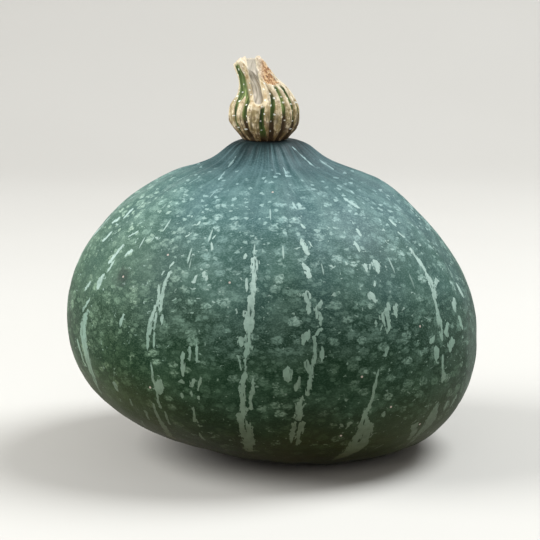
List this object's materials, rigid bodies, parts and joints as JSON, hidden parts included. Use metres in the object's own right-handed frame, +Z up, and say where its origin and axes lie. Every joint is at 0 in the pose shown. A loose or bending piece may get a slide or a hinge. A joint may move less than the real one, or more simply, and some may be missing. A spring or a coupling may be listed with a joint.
{
  "type": "kabocha squash",
  "caption": "Kabocha squash: a wide, lopsided green fruit with shallow furrows that tapers up to a short neck, and a stubby ribbed corky stem broken off at a slant.",
  "frame": {"origin": "on the plane it rests on, under the middle of the object's box in plan", "axes": "+Z up, from the blossom end to the stem; -Y is the front, where the stem's long scar is; +X is to the right seen from the front, the side on which the fruit hangs lower"},
  "size_m": [0.1802, 0.1752, 0.1722],
  "materials": {
    "skin": "hard rind, dark blue-green with paler mottling and broken pale stripes, with a waxy bloom",
    "cork": "dry cream and tan cork ribs over dark green furrows, with pale warts"
  },
  "bodies": {
    "root": {"fruit": "skin", "stem": "cork"}
  },
  "joints": []
}
